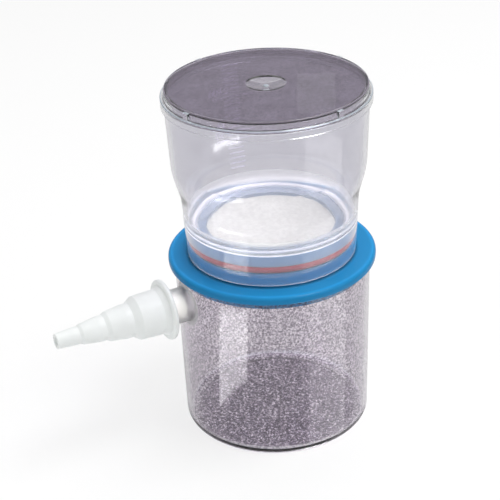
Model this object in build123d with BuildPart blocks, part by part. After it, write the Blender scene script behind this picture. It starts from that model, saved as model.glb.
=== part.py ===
"""Disposable 47 mm vacuum filtration unit with a clear funnel, a blue collar and a clear receiver.

Frame: millimetres, +Z up, origin at the centre of the face that the receiver stands on.
The side port of the receiver points along -X.
"""
from build123d import *
from math import radians, sqrt, tan
import os

# ---------------------------------------------------------------------------
# Driving dimensions, in mm
# ---------------------------------------------------------------------------
# Fits between pieces
running_gap = 0.05        # gap between faces that slide or seat on each other
skirt_clearance = 0.35    # radial gap between the boss and the funnel's skirt
spigot_clearance = 0.15   # radial gap between the spigot and the receiver's wall
lid_clearance = 0.12      # radial gap between the lid's skirt and the funnel's rim
seal_clearance = 0.04     # radial gap left at the seal ring, which is really squeezed

# Receiver: the tapered cup under the collar
receiver_height = 64.9    # base to rim
receiver_rim_r = 34.9     # outer radius at the rim
receiver_draft = 0.9      # taper of the wall, degrees
receiver_wall = 1.45
receiver_floor = 1.5      # thickness of the floor
receiver_corner_r = 2.6   # outer radius between wall and base
foot_height = 0.6         # height of the ring that the cup stands on
foot_width = 2.2
gate_r = 1.6              # moulding gate under the floor
gate_height = 0.3

# Side port and its cotton plug
port_drop = 10.8          # rim down to the port's axis
port_r = 6.2
port_bore_r = 4.6
port_length = 18.0        # cup wall to the port's mouth
port_root_r = 0.8         # fillet where the port leaves the cup
plug_length = 11.0
plug_inset = 6.0          # port's mouth to the plug
plug_clearance = 0.02
plug_edge_r = 0.6

# Stepped hose adapter: four steps, from the flange to the tip
adapter_gap = 7.4         # cup wall to the adapter's flange
adapter_wall = 1.78       # wall of the socket at the adapter's root
adapter_rim = 2.79        # flange edge beyond the root
adapter_flange_thickness = 1.7
adapter_root_length = 2.0   # flare between the flange and the first step
adapter_flare = 0.97      # flare's extra radius at the flange
root_taper = 0.24         # drop in radius along the first step
hose_large_r = (6.06, 4.50, 3.14)   # the further steps, for three sizes of hose
hose_small_r = (5.26, 3.65, 2.66)
step_land = 2.0           # straight length at the large end of each step
step_length = (7.9, 7.8, 7.9, 8.8)
shoulder_length = (2.5, 1.5, 1.1)
adapter_bore_r = 1.7
socket_end_gap = 0.6      # port's mouth to the bottom of the socket
adapter_edge_r = 0.7      # round on the flange's rim
tip_edge_r = 0.4

# Collar: flange, boss with seal groove, drain funnel and nozzle, all one moulding
flange_overhang = 2.1     # flange edge beyond the receiver's rim
flange_thickness = 2.9
flange_top_edge_r = 1.2
flange_low_edge_r = 0.7
rim_depth = 1.0           # how far the receiver's rim sits inside the flange
rebate_gap = 0.2          # side gap around the rim in its groove
spigot_depth = 3.0        # spigot below the flange
spigot_wall = 1.4
boss_height = 8.6         # flange to the land around the support plate
boss_rim_height = 3.05    # rim of the boss above that land
boss_rim_wall = 1.3
boss_land = 4.5           # boss's side to the support plate's recess
boss_wall = 2.0
boss_chamfer = 0.4
drain_slope = 9.0         # slope of the drain floor, degrees
drain_floor = 1.8
drain_lip = 3.0           # width of the ledge that carries the support plate
drain_depth = 1.6         # ledge down to the edge of the drain floor
drain_rib_count = 8
drain_rib_thickness = 1.2
drain_rib_root = 0.5      # how far a rib runs into the boss
nozzle_r = 3.7
nozzle_bore_r = 2.3
nozzle_drop = 16.4        # nozzle tip below the flange's underside

# Seal ring
seal_section = 2.75
seal_land = 0.8           # land of the boss above the groove
groove_side_gap = 0.1

# Filter stack
membrane_r = 23.5         # a 47 mm disc
membrane_thickness = 0.15
pad_thickness = 0.8
plate_thickness = 1.6
plate_clearance = 0.1
plate_hole_r = 0.7
plate_hole_pitch = 4.2    # between rings of holes
plate_hole_border = 1.8   # outer ring of holes to the plate's edge, at least
holes_per_ring = 6        # holes added by each further ring

# Upper chamber: the funnel over the membrane
chamber_wall = 1.45
skirt_lift = 0.6          # skirt's edge above the flange
boss_rim_gap = 0.15       # side gap inside the rim of the boss
clamp_overlap = 0.9       # how far the clamping lip covers the membrane
clamp_lip = 1.3           # height of the lip at its inner edge
clamp_slope = 20.0        # slope of the lip's top, degrees
lower_height = 22.2       # skirt's edge to the start of the shoulder
lower_flare = 1.1         # growth in radius over that height
shoulder_height = 9.4
shoulder_step = 2.7
upper_height = 26.3       # shoulder to rim
upper_flare = 1.1
shoulder_fillet = 24.0
floor_fillet = 5.4        # inner fillet between the lip and the wall
rim_edge_r = 0.4
skirt_edge_r = 0.4

# Lid
lid_wall = 0.85
lid_skirt = 3.3           # skirt's edge to the ledge
lid_ledge = 1.1           # thickness of the ledge
lid_top = 1.2             # thickness of the raised top
lid_rise = 2.6            # ledge to the raised top
lid_shoulder = 1.4        # ledge width outside the raised top
raised_draft = 0.15       # growth in radius down the raised top's side
lid_edge_r = 0.45
dimple_r = 6.9
dimple_depth = 1.2
lug_count = 4
lug_width = 2.4
lug_root = 0.6            # how far a lug runs into the raised top
lug_drop = 0.3            # lug's end below the raised top
lug_angle = 14.4          # first lug from +X, degrees
lid_gate_r = 1.0
lid_gate_height = 0.35

# ---------------------------------------------------------------------------
# Heights and radii that follow from them
# ---------------------------------------------------------------------------
floor_z = foot_height + receiver_floor
flange_z = receiver_height - rim_depth + running_gap
flange_top_z = flange_z + flange_thickness
flange_r = receiver_rim_r + flange_overhang
port_z = receiver_height - port_drop

plate_r = membrane_r + plate_clearance
recess_r = plate_r + plate_clearance
boss_r = recess_r + boss_land
boss_top_z = flange_top_z + boss_height
boss_rim_z = boss_top_z + boss_rim_height
boss_rim_r = boss_r - boss_rim_wall
ledge_z = boss_top_z - plate_thickness
pad_z = boss_top_z
membrane_z = pad_z + pad_thickness
groove_half = seal_section / 2 + groove_side_gap
seal_z = boss_top_z - seal_land - groove_half

skirt_bore_r = boss_r + skirt_clearance
skirt_r = skirt_bore_r + chamber_wall
skirt_z = flange_top_z + skirt_lift
clamp_z = membrane_z + membrane_thickness + running_gap
shoulder_low_z = skirt_z + lower_height
shoulder_high_z = shoulder_low_z + shoulder_height
rim_z = shoulder_high_z + upper_height
shoulder_low_r = skirt_r + lower_flare
shoulder_high_r = shoulder_low_r + shoulder_step
rim_r = shoulder_high_r + upper_flare

lid_ledge_z = rim_z + running_gap + lid_ledge
lid_top_z = lid_ledge_z + lid_rise
lid_bore_r = rim_r + lid_clearance
lid_r = lid_bore_r + lid_wall
raised_r = lid_r - lid_shoulder


def receiver_outer_r(z):
    """Outer radius of the tapered receiver at height z."""
    return receiver_rim_r - (receiver_height - z) * tan(radians(receiver_draft))


def receiver_inner_r(z):
    """Inner radius of the tapered receiver at height z."""
    return receiver_outer_r(z) - receiver_wall


os.makedirs("parts", exist_ok=True)

# ---------------------------------------------------------------------------
# Receiver: one moulding with its side port
# ---------------------------------------------------------------------------
port_root_x = receiver_outer_r(port_z)
port_mouth_x = port_root_x + port_length
foot_r = receiver_outer_r(0) - receiver_corner_r - foot_width

with BuildPart() as receiver:
    with BuildSketch(Plane.XZ):
        with BuildLine():
            Polyline(
                (0, 0),
                (receiver_outer_r(0), 0),
                (receiver_outer_r(receiver_height), receiver_height),
                (0, receiver_height),
                close=True,
            )
        make_face()
    revolve(axis=Axis.Z)
    base_edge = receiver.edges().filter_by(GeomType.CIRCLE).sort_by(Axis.Z)[0]
    fillet(base_edge, receiver_corner_r)
    with BuildSketch(Plane.YZ.offset(-port_mouth_x)):
        with Locations((0, port_z)):
            Circle(port_r)
    extrude(amount=port_length + receiver_wall)
    port_root = receiver.edges().filter_by(GeomType.BSPLINE)
    fillet(port_root, port_root_r)
    with BuildSketch(Plane.XZ):
        with BuildLine():
            Polyline(
                (0, floor_z),
                (receiver_inner_r(floor_z), floor_z),
                (receiver_inner_r(receiver_height), receiver_height),
                (0, receiver_height),
                close=True,
            )
        make_face()
    revolve(axis=Axis.Z, mode=Mode.SUBTRACT)
    floor_edge = receiver.edges().filter_by(GeomType.CIRCLE).filter_by_position(
        Axis.Z, floor_z - 0.01, floor_z + 0.01
    )
    fillet(floor_edge, receiver_corner_r - receiver_wall)
    with BuildSketch(Plane.YZ.offset(-port_mouth_x)):
        with Locations((0, port_z)):
            Circle(port_bore_r)
    extrude(amount=port_length + 2 * receiver_wall, mode=Mode.SUBTRACT)
    with BuildSketch(Plane.XY):
        Circle(foot_r)
    extrude(amount=foot_height, mode=Mode.SUBTRACT)
    with BuildSketch(Plane.XY.offset(foot_height)):
        Circle(gate_r)
    extrude(amount=-gate_height)

# ---------------------------------------------------------------------------
# Cotton plug in the side port
# ---------------------------------------------------------------------------
with BuildPart() as cotton_plug:
    with BuildSketch(Plane.YZ.offset(plug_inset - port_mouth_x)):
        with Locations((0, port_z)):
            Circle(port_bore_r - plug_clearance)
    extrude(amount=plug_length)
    fillet(cotton_plug.edges().filter_by(GeomType.CIRCLE), plug_edge_r)

# ---------------------------------------------------------------------------
# Stepped hose adapter, pushed onto the side port
# ---------------------------------------------------------------------------
flange_x = port_root_x + adapter_gap
root_x = flange_x + adapter_flange_thickness + adapter_root_length
socket_x = port_mouth_x + socket_end_gap
socket_r = port_r + running_gap
adapter_root_r = socket_r + adapter_wall
adapter_flange_r = adapter_root_r + adapter_rim
step_large_r = (adapter_root_r,) + hose_large_r
step_small_r = (adapter_root_r - root_taper,) + hose_small_r

outline = [
    (flange_x, adapter_flange_r),
    (flange_x + adapter_flange_thickness, adapter_flange_r),
    (flange_x + adapter_flange_thickness, adapter_root_r + adapter_flare),
]
step_start = root_x
step_starts = []
for index, length in enumerate(step_length):
    step_starts.append(step_start)
    outline.append((step_start, step_large_r[index]))
    outline.append((step_start + step_land, step_large_r[index]))
    outline.append((step_start + length, step_small_r[index]))
    step_start += length
    if index < len(shoulder_length):
        step_start += shoulder_length[index]
tip_x = step_start

socket = [
    (tip_x, adapter_bore_r),
    (socket_x + 2 * adapter_bore_r, adapter_bore_r),
    (socket_x, port_bore_r),
    (socket_x, socket_r),
    (flange_x, socket_r),
]

with BuildPart() as hose_adapter:
    with BuildSketch(Plane.XZ):
        with BuildLine():
            Polyline([(-x, port_z + r) for x, r in outline + socket], close=True)
        make_face()
    revolve(axis=Axis((0, 0, port_z), (-1, 0, 0)))
    flange_edges = hose_adapter.edges().filter_by(
        lambda e: e.geom_type == GeomType.CIRCLE and abs(e.radius - adapter_flange_r) < 0.01
    )
    fillet(flange_edges, adapter_edge_r)
    tip_edge = hose_adapter.edges().filter_by(
        lambda e: e.geom_type == GeomType.CIRCLE and abs(e.radius - step_small_r[-1]) < 0.01
    )
    fillet(tip_edge, tip_edge_r)

# ---------------------------------------------------------------------------
# Collar
# ---------------------------------------------------------------------------
drain_r = recess_r - drain_lip
drain_edge_z = ledge_z - drain_depth
drain_drop = (drain_r - nozzle_bore_r) * tan(radians(drain_slope))
drain_low_z = drain_edge_z - drain_drop
nozzle_z = flange_z - nozzle_drop
spigot_z = flange_z - spigot_depth
spigot_r = receiver_inner_r(spigot_z) - spigot_clearance
pocket_r = min(boss_r - boss_wall, spigot_r - 2 * spigot_wall)
pocket_z = drain_edge_z - drain_floor
nozzle_join_z = pocket_z - (drain_r - nozzle_r) * tan(radians(drain_slope))

groove_r = skirt_bore_r - seal_clearance - seal_section

with BuildPart() as collar:
    with BuildSketch(Plane.XZ):
        with BuildLine():
            Polyline(
                (nozzle_bore_r, nozzle_z),
                (nozzle_r, nozzle_z),
                (nozzle_r, nozzle_join_z),
                (drain_r, pocket_z),
                (pocket_r, pocket_z),
                (pocket_r, flange_z),
                (spigot_r - spigot_wall, flange_z),
                (spigot_r - spigot_wall, spigot_z),
                (spigot_r, spigot_z),
                (spigot_r, flange_z),
                (flange_r, flange_z),
                (flange_r, flange_top_z),
                (boss_r, flange_top_z),
                (boss_r, boss_rim_z),
                (boss_rim_r, boss_rim_z),
                (boss_rim_r, boss_top_z),
                (recess_r, boss_top_z),
                (recess_r, ledge_z),
                (drain_r, ledge_z),
                (drain_r, drain_edge_z),
                (nozzle_bore_r, drain_low_z),
                close=True,
            )
        make_face()
        with Locations((groove_r + seal_section, seal_z)):
            Rectangle(2 * seal_section, 2 * groove_half, mode=Mode.SUBTRACT)
        rebate_in = spigot_r - running_gap
        rebate_out = receiver_rim_r + rebate_gap
        with Locations(((rebate_in + rebate_out) / 2, flange_z)):
            Rectangle(rebate_out - rebate_in, 2 * rim_depth, mode=Mode.SUBTRACT)
    revolve(axis=Axis.Z)
    flange_edges = collar.edges().filter_by(
        lambda e: e.geom_type == GeomType.CIRCLE and abs(e.radius - flange_r) < 0.01
    ).sort_by(Axis.Z)
    fillet(flange_edges[-1], flange_top_edge_r)
    fillet(flange_edges[0], flange_low_edge_r)
    boss_edge = collar.edges().filter_by(
        lambda e: e.geom_type == GeomType.CIRCLE and abs(e.radius - boss_r) < 0.01
    ).sort_by(Axis.Z)[-1]
    chamfer(boss_edge, boss_chamfer)
    with BuildSketch(Plane.XY.offset(ledge_z)):
        rib_in = 2 * nozzle_bore_r
        rib_length = drain_r + drain_rib_root - rib_in
        with PolarLocations(rib_in + rib_length / 2, drain_rib_count):
            Rectangle(rib_length, drain_rib_thickness)
    extrude(until=Until.NEXT, dir=(0, 0, -1))

# ---------------------------------------------------------------------------
# Seal ring in the boss's groove
# ---------------------------------------------------------------------------
with BuildPart() as seal_ring:
    with BuildSketch(Plane.XZ):
        with Locations((groove_r + seal_section / 2, seal_z)):
            Circle(seal_section / 2)
    revolve(axis=Axis.Z)

# ---------------------------------------------------------------------------
# Filter stack: support plate, pad and membrane
# ---------------------------------------------------------------------------
with BuildPart() as support_plate:
    with BuildSketch(Plane.XY.offset(ledge_z)):
        Circle(plate_r)
        Circle(plate_hole_r, mode=Mode.SUBTRACT)
        ring_count = int((plate_r - plate_hole_border) / plate_hole_pitch)
        for ring in range(1, ring_count + 1):
            with PolarLocations(ring * plate_hole_pitch, holes_per_ring * ring):
                Circle(plate_hole_r, mode=Mode.SUBTRACT)
    extrude(amount=plate_thickness)

with BuildPart() as support_pad:
    with BuildSketch(Plane.XY.offset(pad_z)):
        Circle(membrane_r)
    extrude(amount=pad_thickness)

with BuildPart() as membrane_filter:
    with BuildSketch(Plane.XY.offset(membrane_z)):
        Circle(membrane_r)
    extrude(amount=membrane_thickness)

# ---------------------------------------------------------------------------
# Upper chamber
# ---------------------------------------------------------------------------
mouth_r = membrane_r - clamp_overlap
lip_z = clamp_z + clamp_lip
slot_r = boss_rim_r - boss_rim_gap
slot_z = boss_rim_z + running_gap


def chamber_lower_r(z):
    """Outer radius of the straight flare below the shoulder."""
    return skirt_r + lower_flare * (z - skirt_z) / lower_height


def lip_top_z(r):
    """Height of the lip's sloping top at radius r."""
    return lip_z + (r - mouth_r) * tan(radians(clamp_slope))


lip_meets_z = lip_top_z(skirt_bore_r)
lip_meets_r = chamber_lower_r(lip_meets_z) - chamber_wall

with BuildPart() as upper_chamber:
    with BuildSketch(Plane.XZ):
        with BuildLine():
            Polyline(
                (skirt_r, skirt_z),
                (shoulder_low_r, shoulder_low_z),
                (shoulder_high_r, shoulder_high_z),
                (rim_r, rim_z),
                (rim_r - chamber_wall, rim_z),
                (shoulder_high_r - chamber_wall, shoulder_high_z),
                (shoulder_low_r - chamber_wall, shoulder_low_z),
                (lip_meets_r, lip_top_z(lip_meets_r)),
                (mouth_r, lip_z),
                (mouth_r, clamp_z),
                (slot_r, clamp_z),
                (slot_r, slot_z),
                (skirt_bore_r, slot_z),
                (skirt_bore_r, skirt_z),
                close=True,
            )
        make_face()
        shoulder_corners = vertices().filter_by_position(Axis.Y, shoulder_low_z, shoulder_high_z)
        fillet(shoulder_corners, shoulder_fillet)
        lip_corner = vertices().sort_by_distance((lip_meets_r, lip_top_z(lip_meets_r), 0))[0]
        fillet(lip_corner, floor_fillet)
    revolve(axis=Axis.Z)
    fillet(upper_chamber.edges().group_by(Axis.Z)[-1], rim_edge_r)
    fillet(upper_chamber.edges().group_by(Axis.Z)[0].sort_by(SortBy.RADIUS)[-1], skirt_edge_r)

# ---------------------------------------------------------------------------
# Lid: raised top with a dimple, four lugs on the ledge, short skirt over the rim
# ---------------------------------------------------------------------------
skirt_end_z = lid_ledge_z - lid_skirt
ledge_under_z = lid_ledge_z - lid_ledge
top_under_z = lid_top_z - lid_top
raised_bore_r = raised_r - lid_top
# the dimple is part of a sphere; this is its depth half-way out from its centre
dish_r = (dimple_r ** 2 + dimple_depth ** 2) / (2 * dimple_depth)
half_r = dimple_r / 2
half_drop = dimple_depth - dish_r + sqrt(dish_r ** 2 - half_r ** 2)

with BuildPart() as lid:
    with BuildSketch(Plane.XZ):
        with BuildLine():
            ThreePointArc(
                (0, lid_top_z - dimple_depth), (half_r, lid_top_z - half_drop), (dimple_r, lid_top_z)
            )
            Polyline(
                (dimple_r, lid_top_z),
                (raised_r, lid_top_z),
                (raised_r + raised_draft, lid_ledge_z),
                (lid_r, lid_ledge_z),
                (lid_r, skirt_end_z),
                (lid_bore_r, skirt_end_z),
                (lid_bore_r, ledge_under_z),
                (raised_bore_r, ledge_under_z),
                (raised_bore_r, top_under_z),
                (dimple_r, top_under_z),
            )
            ThreePointArc(
                (dimple_r, top_under_z), (half_r, top_under_z - half_drop), (0, top_under_z - dimple_depth)
            )
            Line((0, top_under_z - dimple_depth), (0, lid_top_z - dimple_depth))
        make_face()
    revolve(axis=Axis.Z)
    top_edge = lid.edges().group_by(Axis.Z)[-1].sort_by(SortBy.RADIUS)[-1]
    ledge_edge = lid.edges().filter_by(
        lambda e: e.geom_type == GeomType.CIRCLE and abs(e.radius - lid_r) < 0.01
    ).sort_by(Axis.Z)[-1]
    fillet([top_edge, ledge_edge], lid_edge_r)
    with BuildSketch(Plane.XY.offset(lid_ledge_z)):
        lug_length = lid_shoulder - lid_edge_r + lug_root
        with PolarLocations(raised_r - lug_root + lug_length / 2, lug_count, start_angle=lug_angle):
            Rectangle(lug_length, lug_width)
    extrude(amount=lid_rise - lug_drop)
    with BuildSketch(Plane.XY.offset(lid_top_z - dimple_depth - lid_top / 2)):
        Circle(lid_gate_r)
    extrude(amount=lid_top / 2 + lid_gate_height)

# ---------------------------------------------------------------------------
# One STEP file for each piece
# ---------------------------------------------------------------------------
pieces = {
    "receiver": receiver,
    "cotton_plug": cotton_plug,
    "hose_adapter": hose_adapter,
    "collar": collar,
    "seal_ring": seal_ring,
    "support_plate": support_plate,
    "support_pad": support_pad,
    "membrane_filter": membrane_filter,
    "upper_chamber": upper_chamber,
    "lid": lid,
}
for name, piece in pieces.items():
    piece.part.label = name
    export_step(piece.part, f"parts/{name}.step")
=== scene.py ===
"""Vacuum filtration unit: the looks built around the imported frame.

Clear funnel with a lid, blue collar with its filter stack, clear receiver and a
stepped white hose adapter. Sizes are in metres, in the frame's own axes.
"""
from functools import partial
from math import asin, atan2, ceil, cos, pi, radians, sin, tan

import bmesh
import bpy
from bpy.props import FloatProperty, FloatVectorProperty, IntProperty, PointerProperty
from mathutils import Matrix, Vector, noise


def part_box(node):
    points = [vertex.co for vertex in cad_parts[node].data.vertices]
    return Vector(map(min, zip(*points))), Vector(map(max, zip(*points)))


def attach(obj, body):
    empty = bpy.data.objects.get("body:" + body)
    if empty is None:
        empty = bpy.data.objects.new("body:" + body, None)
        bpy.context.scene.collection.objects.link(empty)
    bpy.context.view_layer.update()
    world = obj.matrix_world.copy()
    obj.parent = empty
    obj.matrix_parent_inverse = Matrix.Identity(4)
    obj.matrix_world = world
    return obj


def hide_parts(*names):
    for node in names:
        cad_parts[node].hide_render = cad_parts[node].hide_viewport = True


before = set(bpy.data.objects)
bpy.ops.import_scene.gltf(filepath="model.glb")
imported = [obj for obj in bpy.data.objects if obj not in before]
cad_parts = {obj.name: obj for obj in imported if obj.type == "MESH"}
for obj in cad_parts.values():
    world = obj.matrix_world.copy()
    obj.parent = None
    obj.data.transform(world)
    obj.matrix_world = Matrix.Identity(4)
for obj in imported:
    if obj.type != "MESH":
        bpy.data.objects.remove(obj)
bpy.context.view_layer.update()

bl_info = {
    "name": "Vacuum filtration unit",
    "version": (1, 0, 0),
    "blender": (4, 5, 0),
    "location": "3D View > Sidebar > Filtration",
    "description": "Builds the clear, blue and white pieces of a membrane filter unit",
    "category": "Add Mesh",
}

MM = 0.001
SEGMENTS = 192            # round the large turned shapes
SMALL_SEGMENTS = 96       # round the adapter and the cotton
ARC_STEP = radians(9)     # finest turn between two points of a rounded corner
GUARD = 0.12 * MM         # flat run kept beside each rounded corner
SHARP = radians(50)
POLYSTYRENE = 1.59        # refractive index
POLYPROPYLENE = 1.49

# ---- Where the frame's pieces are, and the gaps between them ----
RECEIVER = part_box("receiver")
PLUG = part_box("cotton_plug")
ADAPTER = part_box("hose_adapter")
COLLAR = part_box("collar")
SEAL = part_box("seal_ring")
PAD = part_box("support_pad")
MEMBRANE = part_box("membrane_filter")
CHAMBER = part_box("upper_chamber")
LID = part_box("lid")

SEAT_GAP = 0.05 * MM      # between faces that seat on each other
SKIRT_GAP = 0.35 * MM     # boss to the funnel's skirt
SIDE_GAP = 0.15 * MM      # round the spigot, and inside the boss's rim
BORE_R = SEAL[1].x + 0.04 * MM
FLANGE_R = COLLAR[1].y
RIM_R = RECEIVER[1].x
RECEIVER_WALL = 1.45 * MM
RECEIVER_DRAFT = radians(0.9)
RECEIVER_FLOOR_Z = 2.3 * MM
RECEIVER_FLOOR_R = RIM_R - 2.6 * MM
PLATE_THICKNESS = 1.6 * MM
DRAIN_SLOPE = tan(radians(9))
PORT_Z = (ADAPTER[0].z + ADAPTER[1].z) / 2
ALONG_PORT = Matrix(((0, 0, -1, 0), (0, 1, 0, 0), (1, 0, 0, PORT_Z), (0, 0, 0, 1)))


def length(name, about, default_mm):
    """A length that a user may change, given in millimetres."""
    return FloatProperty(
        name=name, description=about, default=default_mm * MM, min=0.0, precision=5,
        subtype="DISTANCE", unit="LENGTH")


def angle(name, about, default_degrees):
    """An angle that a user may change, given in degrees."""
    return FloatProperty(
        name=name, description=about, default=radians(default_degrees), subtype="ANGLE",
        unit="ROTATION")


def whole(name, about, default, least=1):
    """A whole number that a user may change."""
    return IntProperty(name=name, description=about, default=default, min=least)


def colour(name, about, default_hex):
    """A colour that a user may change, given as sRGB hex."""
    return FloatVectorProperty(
        name=name, description=about, default=linear(default_hex), min=0.0, max=1.0, size=4,
        subtype="COLOR")


def linear(code):
    """Linear RGBA of an sRGB hex colour."""
    parts = [int(code[i:i + 2], 16) / 255 for i in (1, 3, 5)]
    return [p / 12.92 if p <= 0.04045 else ((p + 0.055) / 1.055) ** 2.4 for p in parts] + [1.0]


# ---- Sizes and colours that a user would change ----
class FunnelSizes(bpy.types.PropertyGroup):
    wall: length("Wall", "Thickness of the funnel's wall", 1.45)
    lower_height: length("Lower height", "Skirt's edge to the start of the shoulder", 22.2)
    lower_flare: length("Lower flare", "Growth in radius below the shoulder", 1.1)
    shoulder_height: length("Shoulder height", "Height of the shoulder", 9.4)
    shoulder_step: length("Shoulder step", "Growth in radius over the shoulder", 2.7)
    upper_flare: length("Upper flare", "Growth in radius above the shoulder", 1.1)
    shoulder_fillet: length("Shoulder round", "Radius of the shoulder's two bends", 24.0)
    floor_fillet: length("Floor round", "Inner round between the lip and the wall", 5.4)
    clamp_overlap: length("Clamp overlap", "How far the lip covers the membrane", 0.9)
    clamp_lip: length("Lip height", "Height of the clamping lip at its inner edge", 1.3)
    clamp_slope: angle("Lip slope", "Slope of the lip's top", 20)


class ScaleSizes(bpy.types.PropertyGroup):
    first_ml: whole("First mark", "Lowest mark, in millilitres", 20, 5)
    last_ml: whole("Last mark", "Highest mark, in millilitres", 140, 10)
    step_ml: whole("Step", "Millilitres between marks", 5)
    angle: angle("Angle", "Where the scale stands, from +X", 84.5)
    mark_width: length("Mark length", "Length of a plain mark round the wall", 6.2)
    long_width: length("Long mark length", "Length of each 50 ml mark", 16.0)
    mark_height: length("Mark height", "Line width of a mark", 0.34)
    mark_relief: length("Mark relief", "How far a mark stands off the wall", 0.14)
    figure_height: length("Figure height", "Height of the figures", 3.0)


class LidSizes(bpy.types.PropertyGroup):
    wall: length("Skirt wall", "Thickness of the lid's skirt", 0.85)
    ledge: length("Ledge", "Thickness of the ledge", 1.1)
    top: length("Top", "Thickness of the raised top", 1.2)
    shoulder: length("Ledge width", "Ledge outside the raised top", 1.4)
    rise: length("Rise", "Ledge to the raised top", 2.6)
    dimple_radius: length("Dimple radius", "Radius of the finger dimple", 6.9)
    dimple_depth: length("Dimple depth", "Depth of the finger dimple", 1.2)
    gate_radius: length("Gate radius", "Radius of the moulding gate's mark", 1.0)
    gate_height: length("Gate height", "Height of the moulding gate's mark", 0.35)
    lug_width: length("Lug width", "Width of each lug on the ledge", 2.4)
    lug_drop: length("Lug drop", "Lug's top below the raised top", 0.3)
    lug_count: whole("Lugs", "Number of lugs", 4)
    lug_angle: angle("First lug", "Angle of the first lug from +X", 14.4)


class CollarSizes(bpy.types.PropertyGroup):
    flange_thickness: length("Flange thickness", "Thickness of the flange", 2.9)
    top_edge: length("Top edge round", "Round on the flange's upper edge", 1.2)
    low_edge: length("Low edge round", "Round on the flange's lower edge", 0.7)
    rim_depth: length("Rim depth", "How far the receiver's rim sits in the flange", 1.0)
    spigot_wall: length("Spigot wall", "Thickness of the spigot", 1.4)
    spigot_depth: length("Spigot depth", "Spigot below the flange", 3.0)
    boss_height: length("Boss height", "Land of the boss above the flange", 8.6)
    rim_height: length("Boss rim height", "Rim of the boss above its land", 3.05)
    rim_wall: length("Boss rim wall", "Thickness of the boss's rim", 1.3)
    nozzle_radius: length("Nozzle radius", "Outer radius of the drain nozzle", 3.7)
    nozzle_bore: length("Nozzle bore", "Bore radius of the drain nozzle", 2.3)
    rib_thickness: length("Rib thickness", "Thickness of each drain rib", 1.2)
    rib_count: whole("Ribs", "Number of drain ribs", 8, 2)


class AdapterSizes(bpy.types.PropertyGroup):
    flange_thickness: length("Flange thickness", "Thickness of the flange", 1.7)
    flange_edge: length("Flange round", "Round on the flange's rim", 0.7)
    root_length: length("Root length", "Flare between the flange and the first step", 2.0)
    wall: length("Wall", "Wall of the socket at the first step", 1.78)
    port_radius: length("Port radius", "Outer radius of the receiver's port", 6.2)
    port_bore: length("Port bore", "Bore radius of the receiver's port", 4.6)
    second_step: length("Second step", "Radius of the second step's large end", 6.06)
    third_step: length("Third step", "Radius of the third step's large end", 4.5)
    fourth_step: length("Fourth step", "Radius of the fourth step's large end", 3.14)
    bore: length("Bore", "Radius of the bore", 1.7)
    step_land: length("Step land", "Straight length at the large end of each step", 2.0)
    edge: length("Step round", "Round on the edge of each step", 0.3)


class Finish(bpy.types.PropertyGroup):
    funnel: colour("Funnel", "Clear polystyrene of the funnel", "#e9e8ee")
    receiver: colour("Receiver", "Clear polystyrene of the receiver", "#fcf6fd")
    port: colour("Port", "Clear polystyrene of the receiver's side port", "#fafafb")
    matt: colour("Matt parts", "Milky, matt parts of the funnel", "#e4f0fb")
    # the dark of the lid's smoky top is painted shade
    lid: colour("Lid", "Smoky clear polystyrene of the lid's top", "#9a90a2")
    marks: colour("Marks", "Frosted lines and figures of the scale", "#d3d0d8")
    collar: colour("Collar", "Blue polypropylene of the collar", "#2488c0")
    adapter: colour("Adapter", "White polyethylene of the hose adapter", "#d9dcdb")
    seal: colour("Seal", "Red silicone of the seal ring", "#c4303a")
    membrane: colour("Membrane", "White of the membrane", "#ecefe3")
    pad: colour("Pad", "White of the support pad", "#f3f2ee")
    plate: colour("Plate", "Natural polypropylene of the support plate", "#e6e8e8")
    cotton: colour("Cotton", "White of the cotton plug", "#f8f6f1")
    floor: colour("Floor", "Pale floor under the unit", "#fbfbfb")


class UnitSettings(bpy.types.PropertyGroup):
    funnel: PointerProperty(type=FunnelSizes)
    scale: PointerProperty(type=ScaleSizes)
    lid: PointerProperty(type=LidSizes)
    collar: PointerProperty(type=CollarSizes)
    adapter: PointerProperty(type=AdapterSizes)
    finish: PointerProperty(type=Finish)


def settings():
    return bpy.context.scene.filtration_unit


# ---- Shapes ----
def rounded(corners):
    """Points of a closed outline of (radius, height, round) corners, with each one rounded."""
    points = []
    for i, (r, z, *rest) in enumerate(corners):
        here = Vector((r, z))
        size = rest[0] if rest else 0.0
        before = Vector(corners[i - 1][:2]) - here
        after = Vector(corners[(i + 1) % len(corners)][:2]) - here
        if size <= 0 or before.length < 1e-9 or after.length < 1e-9:
            points.append(here)
            continue
        a, b = before.normalized(), after.normalized()
        half = a.angle(b) / 2
        reach = size / tan(half)
        centre = here + (a + b).normalized() * (size / sin(half))
        start, end = here + a * reach, here + b * reach
        v, w = start - centre, end - centre
        turn = atan2(v.x * w.y - v.y * w.x, v.dot(w))
        steps = max(3, ceil(abs(turn) / ARC_STEP))
        if before.length > reach + 3 * GUARD:
            points.append(start + a * GUARD)
        for step in range(steps + 1):
            t = turn * step / steps
            points.append(centre + Vector((
                v.x * cos(t) - v.y * sin(t), v.x * sin(t) + v.y * cos(t))))
        if after.length > reach + 3 * GUARD:
            points.append(end + b * GUARD)
    return points


def turned(name, outline, segments=SEGMENTS, place=None):
    """A closed outline of (radius, height) points turned round Z, as a new object."""
    mesh = bmesh.new()
    rings = []
    for r, z in outline:
        turns = [2 * pi * k / segments for k in range(segments)] if r >= 1e-7 else [0.0]
        rings.append([mesh.verts.new((r * cos(t), r * sin(t), z)) for t in turns])
    for ring, other in zip(rings, rings[1:] + rings[:1]):
        if len(ring) == 1 and len(other) == 1:
            continue
        for k in range(segments):
            n = (k + 1) % segments
            corners = (ring[k % len(ring)], ring[n % len(ring)], other[n % len(other)],
                       other[k % len(other)])
            mesh.faces.new(dict.fromkeys(corners))
    bmesh.ops.recalc_face_normals(mesh, faces=mesh.faces)
    if place:
        mesh.transform(place)
    return as_object(name, mesh)


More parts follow.
